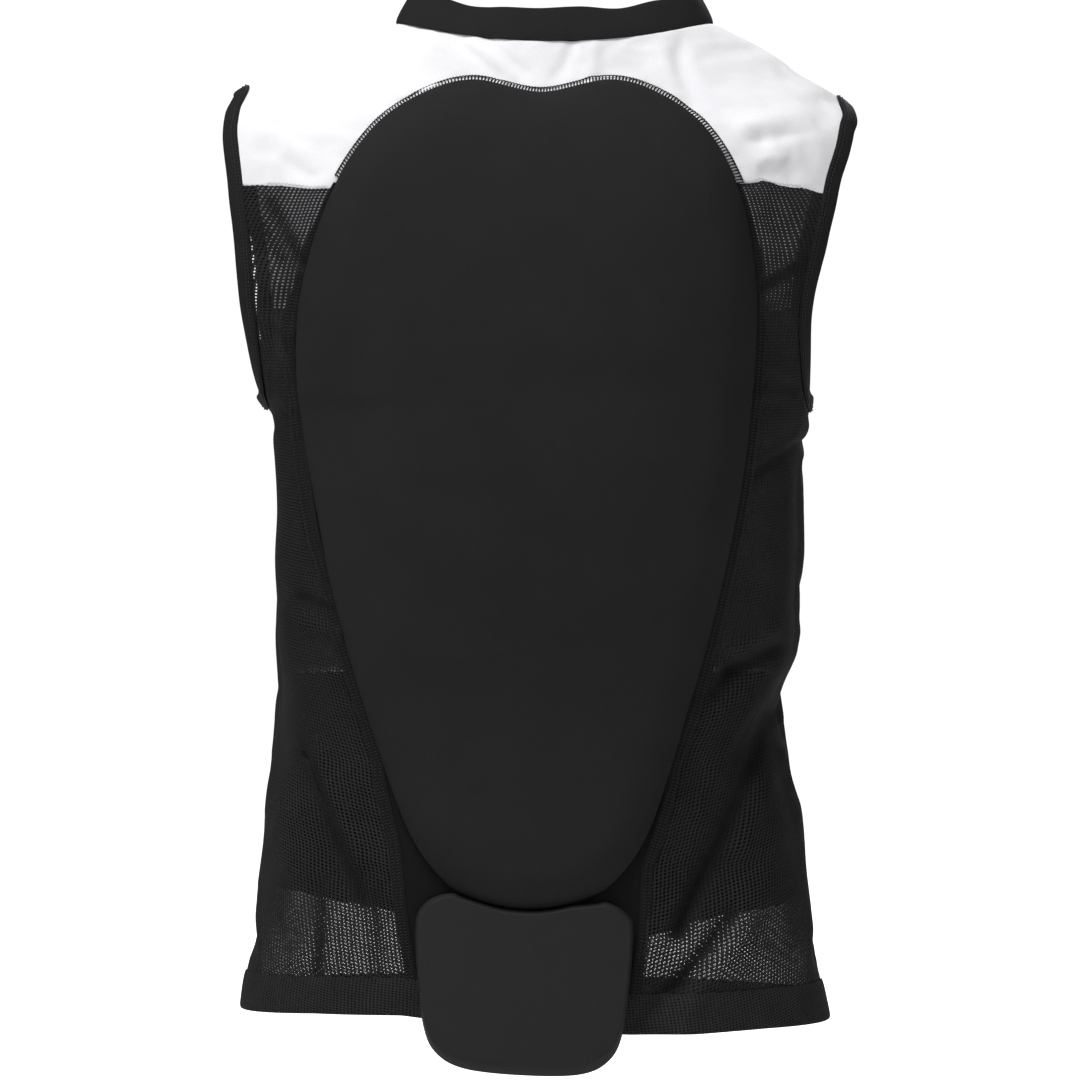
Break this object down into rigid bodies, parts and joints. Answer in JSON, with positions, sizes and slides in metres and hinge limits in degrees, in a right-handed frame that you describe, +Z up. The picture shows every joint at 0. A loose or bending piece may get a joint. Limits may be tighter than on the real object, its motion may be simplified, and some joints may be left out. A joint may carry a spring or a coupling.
{
  "type": "back protector vest",
  "caption": "Sleeveless zip vest of white stretch knit and black mesh, with a large egg-shaped foam back pad, a tail pad below it and a short standing collar.",
  "frame": {"origin": "middle of the neck hole, at the height where the shoulders carry the vest", "axes": "+X to the wearer's right, +Y to the wearer's front, +Z up"},
  "size_m": [0.4217, 0.2512, 0.722],
  "materials": {
    "pad_knit": "fine matte black stretch knit over foam",
    "black_knit": "matte black stretch knit",
    "white_knit": "smooth white stretch knit",
    "open_mesh": "black knitted mesh with rows of small open holes",
    "elastic": "black ribbed elastic tape",
    "foam": "moulded black foam under thin cloth",
    "zip": "black zip with moulded teeth"
  },
  "bodies": {
    "root": {"back_pad": "pad_knit", "tail_pad": "foam", "shoulder_yoke": "white_knit", "side_mesh_left": "open_mesh", "side_mesh_right": "open_mesh", "lower_back_panel": "black_knit", "collar": "black_knit", "armhole_binding_left": "elastic", "armhole_binding_right": "elastic", "hem_band": "open_mesh", "waist_belt": "elastic", "front_zip": "zip"}
  },
  "joints": []
}
